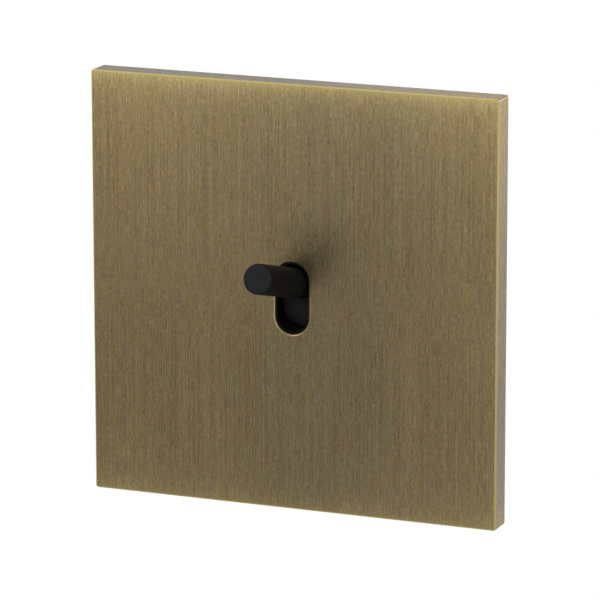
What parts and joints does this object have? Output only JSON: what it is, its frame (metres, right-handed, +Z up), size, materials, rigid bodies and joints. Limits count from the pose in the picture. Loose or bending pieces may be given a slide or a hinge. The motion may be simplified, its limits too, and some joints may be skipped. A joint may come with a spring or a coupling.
{
  "type": "lever push button switch",
  "caption": "Square flush wall switch worked by a short round lever that swings down in an upright slot and springs back, with yoke, housing and sprung contacts behind.",
  "frame": {"origin": "on the wall's surface, at the middle of the plate and of the box screw pattern", "axes": "+Y into the wall, +X to the right as seen from the room, +Z up"},
  "size_m": [0.085, 0.0533, 0.085],
  "materials": {
    "plate_metal": "brushed upright, antique bronze tone, satin lacquer",
    "lever_paint": "matte black, fine grain",
    "black_moulding": "matte moulded, fine texture",
    "carrier_moulding": "matte moulded",
    "stop_rubber": "soft, dull",
    "bright_steel": "ground, bright",
    "spring_steel": "drawn wire, slightly dull",
    "zinc_steel": "bright zinc plated",
    "zinc_sheet": "zinc plated sheet",
    "black_screw": "blackened",
    "terminal_brass": "machined, bright",
    "screw_brass": "turned, bright",
    "contact_copper": "rolled copper alloy strip",
    "contact_silver": "silver, smooth",
    "housing_moulding": "light grey, matte moulded",
    "deck_moulding": "dark grey, matte moulded",
    "plunger_moulding": "natural, low friction"
  },
  "bodies": {
    "base": {"face_plate": "plate_metal", "front_cover": "black_moulding", "stop_buffers": "stop_rubber", "pivot_pin": "bright_steel", "pin_clip": "spring_steel", "plate_carrier": "carrier_moulding", "carrier_screws": "black_screw", "yoke": "zinc_sheet", "earth_washer": "terminal_brass", "earth_screw": "screw_brass", "mechanism_screws": "zinc_steel", "housing": "housing_moulding", "contact_deck": "deck_moulding", "fixed_tips": "contact_silver", "fixed_contact_left": "contact_copper", "fixed_contact_right": "contact_copper", "terminal_block_left": "terminal_brass", "terminal_block_right": "terminal_brass", "terminal_screw_left": "zinc_steel", "terminal_screw_right": "zinc_steel", "return_spring": "spring_steel"},
    "lever": {"lever_rod": "lever_paint", "lever_stud": "zinc_steel", "rocker": "black_moulding"},
    "plunger": {"plunger": "plunger_moulding", "contact_bridge": "contact_copper", "bridge_tips": "contact_silver", "contact_spring": "spring_steel"}
  },
  "joints": [
    {"name": "lever_swing", "type": "hinge", "parent": "base", "child": "lever", "pos_m": [0, 0.0069, 0], "axis": [1, 0, 0], "range_deg": [0, 29], "stiffness_Nm_per_rad": 0.06, "springref_deg": -28.65},
    {"name": "plunger_slide", "type": "slide", "parent": "base", "child": "plunger", "axis": [0, 1, 0], "range_m": [0, 0.0038], "deforming": ["return_spring"]}
  ],
  "couplings": [
    {"joint": "plunger_slide", "follows": "lever_swing", "m_per_rad": 0.0074202}
  ]
}
